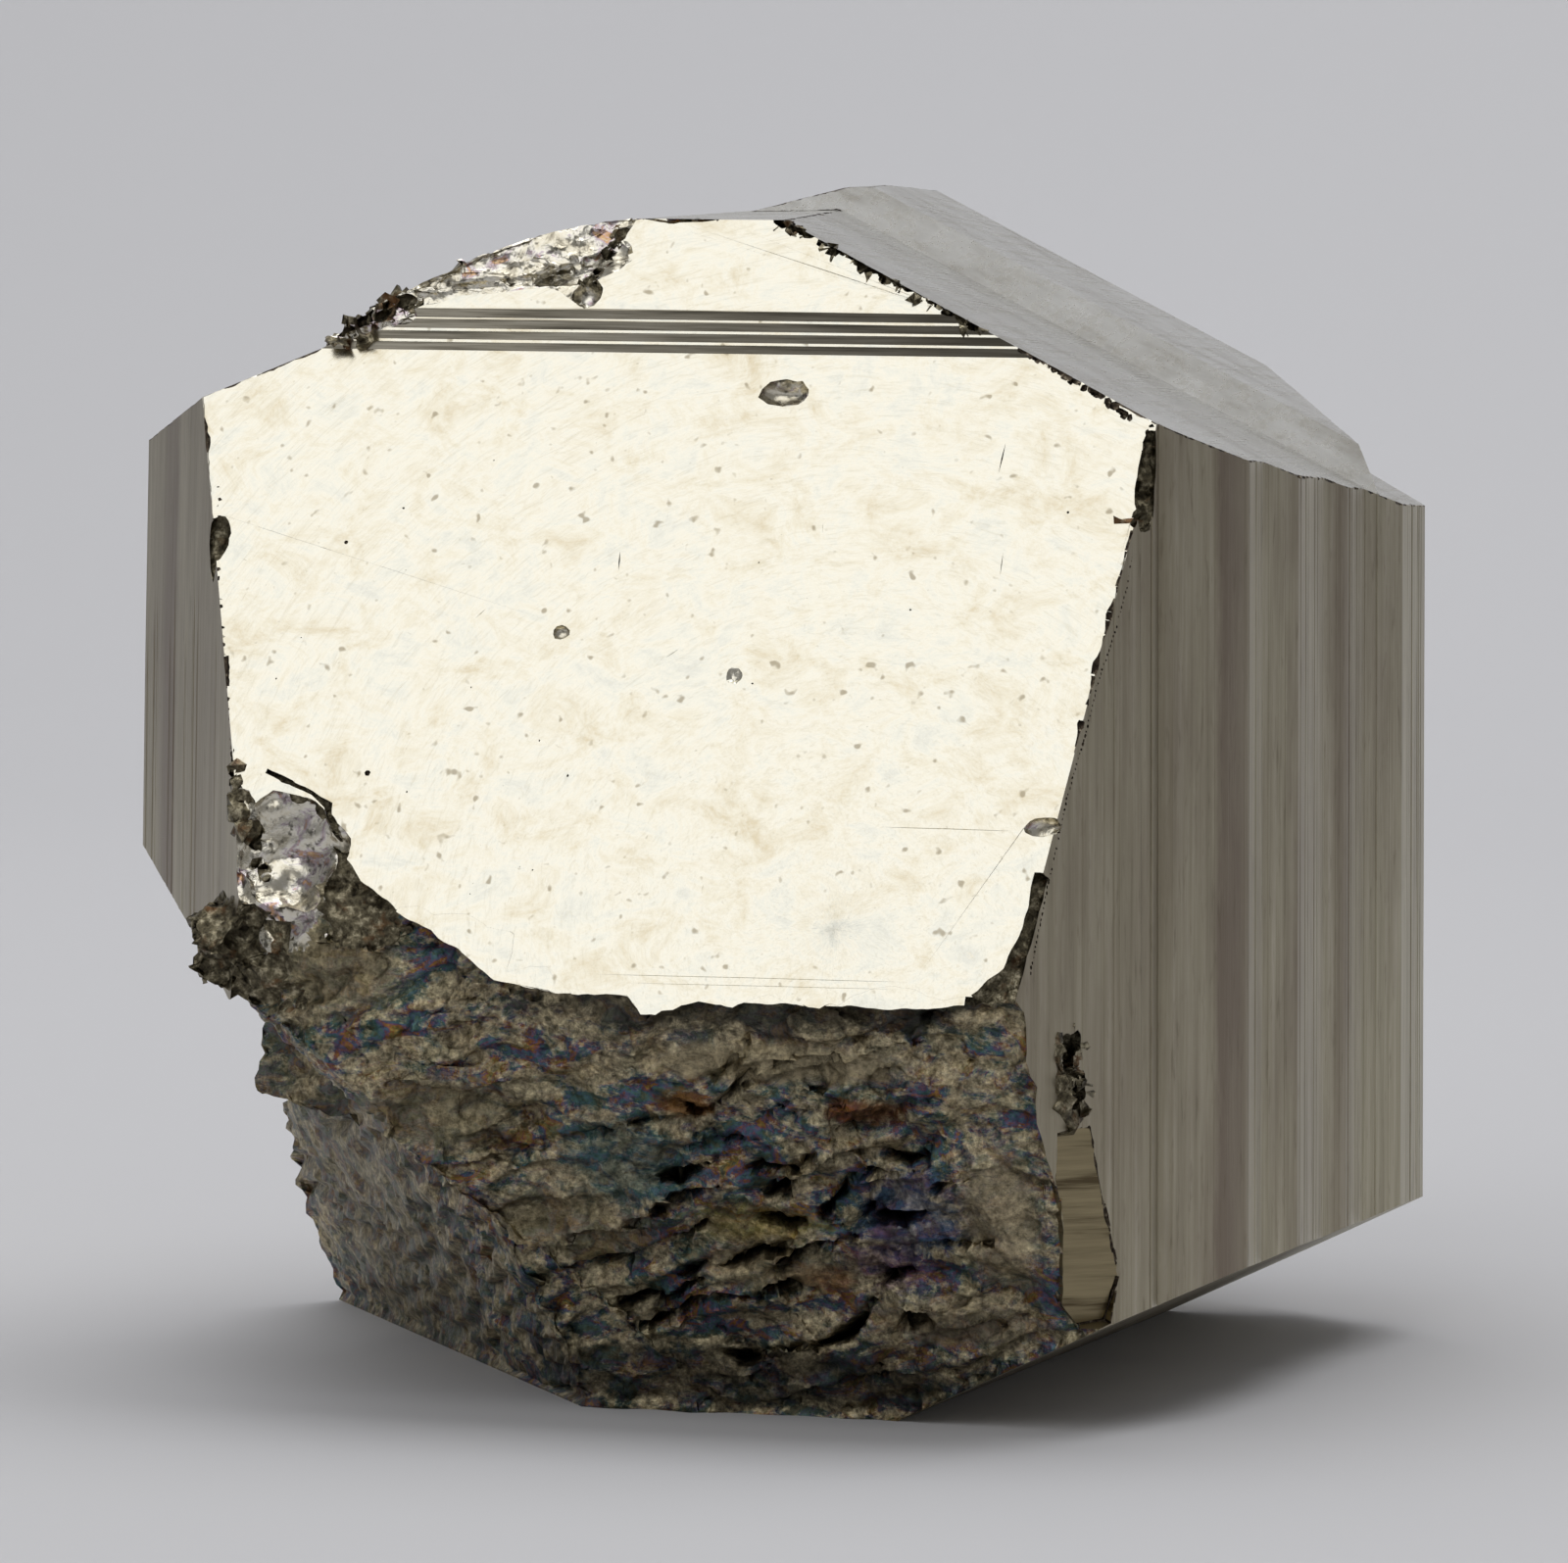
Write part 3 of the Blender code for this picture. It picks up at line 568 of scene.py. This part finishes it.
for plane, way, finish, operation, outline in patchSettings:
    applyPrism(crystal, [onFace(x, z, plane) for x, z in outline], way, finish, operation)
applyPrism(crystal, [middle + Vector(corner) * mm for corner in facetSettings["corners"]],
           facetSettings["way"], cleaved)
applyPrism(crystal, [middle + Vector((x, y, (10.60 - 0.451 * x + 0.006 * y) / 0.893)) * mm
                     for x, y in ((0.8, 16.8), (3.2, 16.8), (3.2, 19.4), (0.8, 19.4))], Vector((0.45, 0, 0.9)), roof)
print("patches made")


# The ridge along the lower left of the fracture: below it the break falls back

ridgeSettings = {
    "start": Vector((-7.46, -9.32, -4.54)),
    "along": Vector((0.815, -0.124, -0.566)),
    "down": Vector((-0.175, 0.878, -0.444)),
    "out": Vector((-0.55, -0.46, -0.69)),
    "corners": [(-2.0, -0.4), (2.6, -0.4), (2.2, 3.4), (-2.2, 3.4)],  # along and down, in mm
    "reach": 3.0,
}


def cutRidge(piece, settings):
    points = [middle + (settings["start"] + settings["along"] * a + settings["down"] * b) * mm
              for a, b in settings["corners"]]
    applyPrism(piece, points, settings["out"] * settings["reach"], broken)


cutRidge(crystal, ridgeSettings)
print("ridge cut")


# Crumbled places: a knob of rubble, small blisters in the eroded hollow, and crumbs bitten out of the edges

crumbSettings = {
    "roughness": 0.45,
    "knob": ((-8.75, -8.55, -2.85), (0.85, 0.8, 0.85)),   # middle and half sizes in mm
    "blisters": [   # place on the upper facet, half width and half height in mm
        (-5.21, 9.63, 0.72, 0.22), (-6.15, 9.42, 0.30, 0.13), (-4.45, 9.98, 0.14, 0.10), (-4.10, 10.08, 0.12, 0.09),
        (-3.70, 10.25, 0.15, 0.11), (-3.30, 10.40, 0.12, 0.10), (-2.95, 10.62, 0.14, 0.09),
        (-5.53, 9.97, 0.16, 0.10), (-4.97, 10.12, 0.13, 0.09), (-3.78, 9.93, 0.12, 0.09),
        (-3.34, 10.09, 0.13, 0.10), (-4.20, 9.74, 0.15, 0.09),
    ],
    "bites": [   # plane or none, smallest and largest half size, spacing in mm, then the places
        (8.33, 0.09, 0.17, 0.11, [(0.60, 10.82), (1.42, 10.44), (2.22, 10.04), (3.18, 9.57), (3.80, 9.26),
                                  (4.58, 8.84), (5.15, 8.55)]),
        (8.34, 0.04, 0.10, 0.16, [(-2.2, 10.88), (-0.93, 10.86), (0.6, 10.88)]),
        (8.10, 0.06, 0.13, 0.10, [(5.42, 8.43), (6.28, 8.0), (7.05, 7.56), (7.66, 7.1)]),
        (8.20, 0.10, 0.22, 0.20, [(-8.0, 8.35), (-7.2, 8.85), (-6.6, 9.15), (-6.2, 9.2)]),
        (8.24, 0.08, 0.16, 0.16, [(-3.1, 9.25), (-2.95, 9.75), (-2.7, 10.2), (-2.4, 10.65)]),
        (None, 0.07, 0.16, 0.16, [(-8.8, -8.5, 0.6), (-8.45, -8.8, -0.4), (-8.15, -9.0, -1.2), (-7.9, -9.1, -1.8)]),
        (None, 0.03, 0.09, 0.20, [(-9.9, -5.9, 6.9), (-9.6, -6.8, 4.6), (-9.15, -7.9, 2.2), (-8.8, -8.5, 0.6)]),
        (None, 0.08, 0.17, 0.14, [(7.95, -5.75, 7.05), (8.02, -5.95, 6.4), (8.0, -6.3, 5.6), (7.9, -6.5, 5.1)]),
        (None, 0.02, 0.045, 0.10, [(7.92, -6.45, 5.0), (7.77, -6.74, 4.04), (7.65, -7.06, 3.32), (7.4, -7.68, 2.25),
                                  (7.23, -8.14, 1.19), (7.05, -8.6, 0.3), (6.92, -8.86, -0.4),
                                  (6.82, -9.21, -1.28), (6.71, -9.51, -2.15), (6.59, -9.81, -3.02)]),
        (None, 0.18, 0.34, 0.22, [(6.72, -8.85, -4.1), (7.15, -8.4, -4.3), (6.8, -8.75, -4.8), (7.2, -8.25, -5.1),
                                  (6.8, -8.5, -5.5)]),
    ],
    "dent": ((0.64, 2.41), (0.20, 0.14, 0.28)),   # a smooth hollow in the bright face
    "seed": 21,
}


def addCrumb(piece, centre, size, finish, operation, roughness, draw):
    shift = Vector([draw.uniform(0, 50) for _ in range(3)])
    bm = bmesh.new()
    made = bmesh.ops.create_icosphere(bm, subdivisions=3 if max(size) > 0.25 else 1, radius=1.0)
    for vert in made["verts"]:
        way = vert.co.copy()
        swell = 1 + roughness * noise.fractal(way * 1.3 + shift, 0.7, 2.1, 4)
        vert.co = centre + Vector([w * s * swell for w, s in zip(way, size)]) * mm
    combine(piece, toolFrom(bm, finish), operation)


def crumble(piece, settings):
    draw = random.Random(settings["seed"])
    centre, size = settings["knob"]
    addCrumb(piece, middle + Vector(centre) * mm, size, rubble, "UNION", settings["roughness"], draw)
    for x, z, wide, tall in settings["blisters"]:
        addCrumb(piece, onFace(x, z, 8.24), (wide, 0.11, tall), chipped, "UNION", 0.15, draw)
    (x, z), size = settings["dent"]
    addCrumb(piece, onFace(x, z, 8.195), size, bright, "DIFFERENCE", 0.1, draw)
    for plane, least, most, spacing, places in settings["bites"]:
        points = [middle + Vector(place) * mm if plane is None else onFace(*place, plane) for place in places]
        for start, end in zip(points, points[1:]):
            for i in range(max(1, round((end - start).length / mm / spacing))):
                spot = start.lerp(end, i * spacing * mm / max((end - start).length, spacing * mm))
                size = [draw.uniform(least, most) for _ in range(3)]
                shift = Vector([draw.uniform(-0.3, 0.3) * most for _ in range(3)]) * mm
                finish = rubble if most > 0.15 else worn
                addCrumb(piece, spot + shift, size, finish, "DIFFERENCE", settings["roughness"], draw)


crumble(crystal, crumbSettings)
print("crumbled places made:", len(crystal.data.polygons), "faces")


# Growth lines: shallow upright steps cut into the sides

lineSettings = {
    "narrowest": 0.06,   # mm from one step to the next
    "widest": 0.5,
    "deepest": 0.02,     # mm
    "lean": 0.018,       # how far the right side leans in as it rises
    "seed": 4,
}


def sideOutline(tree, side, front, back, height, draw):
    points = []
    y = front
    while y < back:
        step = draw.uniform(lineSettings["narrowest"], draw.uniform(0.1, lineSettings["widest"]))
        depth = lineSettings["deepest"] * mm * draw.random() ** 2
        tilt = 0.3 * depth * draw.uniform(-1, 1)
        for place, extra in ((y, tilt), (y + step * 0.96, -tilt)):
            start = middle + Vector((side * 40, place, height)) * mm
            hit = tree.ray_cast(start, Vector((-side, 0, 0)))[0]
            if hit:
                points.append((hit.x - side * (depth + extra), start.y))
        y += step
    return points


def cutLines(piece, side, front, back, height, low, high):
    draw = random.Random(lineSettings["seed"] + side)
    bm = bmesh.new()
    bm.from_mesh(piece.data)
    outline = sideOutline(BVHTree.FromBMesh(bm), side, front, back, height, draw)
    bm.free()
    far = middle.x + side * 30 * mm
    outline = [(far, outline[0][1])] + outline + [(far, outline[-1][1])]
    bm = bmesh.new()
    base = bm.faces.new([bm.verts.new((x, y, 0)) for x, y in outline])
    grown = bmesh.ops.extrude_face_region(bm, geom=[base])
    tops = {part for part in grown["geom"] if isinstance(part, bmesh.types.BMVert)}
    for vert in bm.verts:
        z = high if vert in tops else low
        if side > 0:
            vert.co.x -= lineSettings["lean"] * (z - height) * mm
        vert.co.z = middle.z + z * mm
    combine(piece, toolFrom(bm, striated), "DIFFERENCE")


cutLines(crystal, 1, -8.4, 11.2, 0.0, -16, 16)
cutLines(crystal, -1, -9.0, 11.0, 2.0, -3.4, 16)
print("growth lines cut:", len(crystal.data.polygons), "faces")


# Marks on the bright face: scratches, dents and dots

markSettings = {
    "scratches": [   # two ends in mm, width and depth
        ((5.31, -5.81, 6.75), (5.21, -6.14, 6.03), 0.035, 0.03),
        ((-1.80, -6.80, 4.58), (-1.78, -7.00, 4.13), 0.035, 0.03),
        ((5.45, -6.73, 4.72), (5.43, -6.99, 4.14), 0.022, 0.02),
        ((3.15, -9.04, -0.37), (6.63, -9.04, -0.38), 0.030, 0.015),
        ((-2.70, -10.29, -3.14), (5.78, -10.27, -3.09), 0.030, 0.012),
        ((-2.10, -10.36, -3.28), (5.70, -10.33, -3.22), 0.022, 0.010),
        ((-0.40, -7.6, 2.80), (-0.75, -7.7, 2.55), 0.02, 0.015),
        ((-4.20, -7.2, 3.45), (-4.45, -7.35, 3.20), 0.02, 0.015),
        ((2.0, -6.55, 5.15), (2.02, -6.66, 4.92), 0.02, 0.015),
    ],
    "dents": [(-6.10, 0.35, 0.07, 0.07, 0.05), (-7.1, 4.6, 0.05, 0.05, 0.04)],
    "dots": 50,
    "seed": 5,
}


def addMark(bm, centre, corners, depth):  # an angular dent: corners are (across, up) in mm from its middle
    made = []
    for across, up in corners:
        for out, size in ((0.04, 1.12), (-depth, 0.55)):
            spot = Vector((1, 0, 0)) * across * size + faceUp * up * size + faceWay * out
            made.append(bm.verts.new(centre + spot * mm))
    bmesh.ops.convex_hull(bm, input=made)


def markFace(piece, settings):
    draw = random.Random(settings["seed"])
    bm = bmesh.new()
    taken = []
    for start, end, width, depth in settings["scratches"]:
        first, last = (onFace(place[0], place[2]) for place in (start, end))
        centre = (first + last) / 2
        half = (last - first) / 2 / mm
        long = (half.x, half.dot(faceUp))
        length = math.hypot(*long)
        side = (-long[1] / length * width / 2, long[0] / length * width / 2)
        addMark(bm, centre, [long, side, (-long[0], -long[1]), (-side[0], -side[1])], depth)
        taken.append((centre, length))
    for x, z, half, tall, depth in settings["dents"]:
        corners = [(half * math.cos(a), tall * math.sin(a)) for a in (0.3, 1.2, 2.1, 3.0, 4.1, 5.2)]
        addMark(bm, onFace(x, z), corners, depth)
        taken.append((onFace(x, z), tall))
    for _ in range(settings["dots"]):
        centre = onFace(draw.uniform(-8.6, 6.6), draw.uniform(-2.6, 6.8))
        size = 0.010 + 0.026 * draw.random() ** 3
        if all((centre - other).length / mm > reach + 0.15 for other, reach in taken):
            turn = draw.random()
            corners = [(size * draw.uniform(0.6, 1.2) * math.cos(turn + k * 1.257),
                        size * draw.uniform(0.6, 1.4) * math.sin(turn + k * 1.257)) for k in range(5)]
            addMark(bm, centre, corners, size)
            taken.append((centre, size))
    combine(piece, toolFrom(bm, worn), "DIFFERENCE")


markFace(crystal, markSettings)
print("bright face marked:", len(crystal.data.polygons), "faces")


# Worn edges: an uneven gouge along each sharp edge, wider beside the bright face

edgeSettings = {
    "ring": 0.11,        # mm between rings
    "thin": 0.035,       # mm, the radius between the sides
    "thick": 0.05,       # mm, beside the bright face
    "uneven": 1.3,
    "least": 0.55,
    "corners": 9,
    "seed": 11,
}


def sharpEdges(piece):  # straight edges between two flat faces, with the outward way and the finishes
    bm = bmesh.new()
    bm.from_mesh(piece.data)
    found = []
    for edge in bm.edges:
        one, two = edge.link_faces
        if min(face.calc_area() / max(side.calc_length() for side in face.edges) for face in (one, two)) < 0.02 * mm:
            continue   # a sliver
        kinds = {one.material_index, two.material_index}
        if kinds & (rough | {worn}) or kinds == {striated} or kinds == {steps, bright} or kinds == {steps}:
            continue
        if one.normal.angle(two.normal) > math.radians(15) and edge.calc_length() > 0.15 * mm:
            outward = (one.normal + two.normal).normalized()
            found.append((edge.verts[0].co.copy(), edge.verts[1].co.copy(), outward, bright in kinds))
    bm.free()
    return found


def addGouge(bm, start, end, outward, radius, shift):
    along = (end - start).normalized()
    across = outward.cross(along).normalized()
    length = (end - start).length / mm
    rings = max(2, round(length / edgeSettings["ring"]))
    corners = edgeSettings["corners"]
    loops = []
    for i in range(rings + 1):
        place = start + (end - start) * (i / rings)
        swell = 1 + edgeSettings["uneven"] * noise.fractal(place / mm * 1.4 + shift, 0.6, 2.0, 5)
        loop = []
        for k in range(corners):
            angle = 2 * math.pi * k / corners
            way = outward * math.cos(angle) + across * math.sin(angle)
            reach = radius * max(edgeSettings["least"], swell) * (1 + 0.5 * noise.noise(place / mm * 6 + way * 1.5 + shift))
            loop.append(bm.verts.new(place + (outward * 0.4 * radius + way * reach) * mm))
        loops.append(loop)
    for one, two in zip(loops, loops[1:]):
        for k in range(corners):
            after = (k + 1) % corners
            bm.faces.new((one[k], one[after], two[after], two[k]))
    bm.faces.new(loops[0])
    bm.faces.new(loops[-1])


def wearEdges(piece):
    draw = random.Random(edgeSettings["seed"])
    shift = Vector([draw.uniform(0, 50) for _ in range(3)])
    edges = sharpEdges(piece)
    for start, end, outward, beside in edges:
        bm = bmesh.new()
        radius = edgeSettings["thick" if beside else "thin"]
        addGouge(bm, start, end, outward, radius, shift)
        combine(piece, toolFrom(bm, worn), "DIFFERENCE")
    return len(edges)


print("edges worn:", wearEdges(crystal), "edges,", len(crystal.data.polygons), "faces")


# The fracture: broken faces are divided finely and sink in by flakes, slits and grain

fractureSettings = {
    "cell": 0.15,   # mm, the longest edge left at the front
    "backCell": 0.30,
    "frontUntil": -2.5,                # mm behind the middle
    "inset": 0.01,
    "ragged": 0.05,                    # mm, how far the border of a flat face wanders
}


def fractureDepth(spot):  # mm into the solid, at a place in mm from the middle
    warp = noise.noise_vector(spot * 0.6)
    rise = spot.z - 0.30 * spot.x + 0.5 * warp.x
    stair = rise / 0.62
    share = stair - math.floor(stair)
    flakes = max(0, noise.noise(spot * 0.45 + Vector((3, 9, 4))) + 0.45)
    depth = 0.26 * flakes * min(share / 0.8, (1 - share) / 0.2)
    slit = noise.fractal(Vector((spot.x * 0.6 + 0.2 * spot.z, 7, rise * 3.2 + warp.z)), 0.9, 2.2, 3)
    region = max(0, 1 - (Vector((spot.x - 1.8, 0, spot.z + 8.2)).length / 4.2) ** 2)
    depth += (0.30 + 1.5 * region) * max(0, slit - 0.28 + 0.16 * region)
    depth += 0.13 * abs(noise.fractal(spot * 1.5, 0.75, 2.1, 4))
    depth += 0.05 * (1 + noise.noise(spot * 6.5)) * 0.5
    facet = noise.cell_vector(spot * 2.4 + warp * 0.5)
    depth += 0.06 * abs(facet.x)
    return max(depth, 0)


def divideFaces(bm, settings):  # halves the longest edge of all, over and over, until all are short
    line = []

    def wait(edge):
        kinds = [face for face in edge.link_faces if face.material_index in rough]
        if kinds:
            front = (edge.verts[0].co.y + edge.verts[1].co.y) / 2 < middle.y + settings["frontUntil"] * mm
            length = edge.calc_length()
            if length > settings["cell" if front else "backCell"] * mm:
                heapq.heappush(line, (-length, len(order), edge))
                order.append(None)

    order = []
    for edge in bm.edges:
        wait(edge)
    while line:
        length, _, edge = heapq.heappop(line)
        if abs(edge.calc_length() + length) > 1e-9:
            continue
        beside = [(face, next(vert for vert in face.verts if vert not in edge.verts))
                  for face in edge.link_faces if face.material_index in rough]
        half, added = edge_split(edge, edge.verts[0], 0.5)
        for face, corner in beside:
            face_split(face, added, corner)
        for fresh in added.link_edges:
            wait(fresh)


def breakFaces(piece, settings):
    bm = bmesh.new()
    bm.from_mesh(piece.data)
    for _ in range(2):
        calmSlivers(bm)
    calmFront(bm)
    chosen = [face for face in bm.faces if len(face.verts) > 3
              and (face.material_index in rough
                   or face.material_index == bright and face.calc_area() > 0.001 * mm * mm)]
    bmesh.ops.triangulate(bm, faces=chosen)
    divideFaces(bm, settings)
    for face in bm.faces:
        if face.material_index in (broken, chipped):
            spot = (face.calc_center_median() - middle) / mm
            if spot.z < 2:
                face.material_index = brokenKind(spot, solidSettings)
    bm.normal_update()
    # how deep each place is sunk, kept for the painted shade in the tarnished material
    depth_for_painted_shade = bm.verts.layers.float.new("depth_for_painted_shade")
    moves = []
    for vert in bm.verts:
        kinds = {face.material_index for face in vert.link_faces}
        spot = (vert.co - middle) / mm
        if not kinds & rough or vert.co.z < 0.05 * mm:
            continue
        if kinds <= rough:
            depth = settings["inset"] + fractureDepth(spot) * (0.35 if chipped in kinds else 1.0)
            vert[depth_for_painted_shade] = depth
            moves.append((vert, vert.normal * -depth * mm))
        else:
            flats = [face.normal for face in vert.link_faces if face.material_index not in rough]
            if all(flat.angle(flats[0], 9) < 0.01 for flat in flats):
                wander = noise.noise_vector(spot * 3.5) * settings["ragged"]
                moves.append((vert, (wander - flats[0] * wander.dot(flats[0])) * mm))
    for vert, move in moves:
        vert.co += move
    for vert in bm.verts:   # nothing leaves the box of the solid
        vert.co = [min(max(at, least), most) for at, least, most in zip(vert.co, cadLow, cadHigh)]
    bm.to_mesh(piece.data)
    bm.free()


breakFaces(crystal, fractureSettings)
print("fracture made:", len(crystal.data.polygons), "faces")


def finishMesh(piece):  # flat faces stay flat, the rest is smooth with crisp creases
    piece.data.set_sharp_from_angle(angle=solidSettings["crease"])
    for polygon in piece.data.polygons:
        polygon.use_smooth = polygon.material_index in rough | {worn}
    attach(piece, "root")
    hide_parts("pyrite_cluster")


finishMesh(crystal)
print("crystal finished")


# Studio: a pale floor that curves up behind, a soft light in front above, and one large light overhead for floor and
# backdrop

studioSettings = {
    "floorColour": "C9C9CC",
    "halfWidth": 0.40,         # metres
    "front": -0.45,
    "back": 0.35,
    "bend": 0.15,
    "height": 0.5,
    "surroundings": 0.26,      # brightness of what the sides mirror
}
softboxSettings = {
    "softbox": {"way": (-0.20, -0.68, 0.707), "distance": 0.30, "size": 0.26, "radiance": 1.16},
    "overhead": {"way": (0.0, 0.33, 0.94), "distance": 0.48, "size": 0.50, "radiance": 2.1,
                 "aim": (0, 0.26, 0.0)},
}


def addFloor(settings):
    profile = [(settings["front"], 0.0), (settings["back"] - settings["bend"], 0.0)]
    for i in range(1, 13):
        angle = math.pi / 2 * i / 12
        profile.append((settings["back"] - settings["bend"] + settings["bend"] * math.sin(angle),
                        settings["bend"] * (1 - math.cos(angle))))
    profile.append((settings["back"], settings["height"]))
    bm = bmesh.new()
    half = settings["halfWidth"]
    rows = [[bm.verts.new((x, y, z)) for x in (-half, half)] for y, z in profile]
    for low, high in zip(rows, rows[1:]):
        bm.faces.new((low[0], low[1], high[1], high[0]))
    mesh = bpy.data.meshes.new("floor")
    bm.to_mesh(mesh)
    bm.free()
    mesh.shade_smooth()
    paper = startMaterial("paperSweep", {"Base Color": linear(settings["floorColour"]), "Roughness": 0.9})
    mesh.materials.append(paper[0])
    floor = bpy.data.objects.new("floor", mesh)
    bpy.context.scene.collection.objects.link(floor)


def addSoftbox(name, settings):
    data = bpy.data.lights.new(name, "AREA")
    data.size = settings["size"]
    data.energy = settings["radiance"] * math.pi * settings["size"] ** 2  # watts for that radiance
    light = bpy.data.objects.new(name, data)
    bpy.context.scene.collection.objects.link(light)
    light.location = middle + Vector(settings["way"]).normalized() * settings["distance"]
    toward = Vector(settings["aim"]) if "aim" in settings else middle
    light.rotation_euler = (light.location - toward).to_track_quat("Z", "Y").to_euler()


def addSurroundings(brightness):
    world = bpy.data.worlds.new("studio")
    bpy.context.scene.world = world
    world.use_nodes = True
    world.node_tree.nodes["Background"].inputs["Color"].default_value = (brightness,) * 3 + (1,)


addFloor(studioSettings)
for name, settings in softboxSettings.items():
    addSoftbox(name, settings)
addSurroundings(studioSettings["surroundings"])
bpy.context.scene.view_settings.view_transform = "Standard"
print("studio ready")
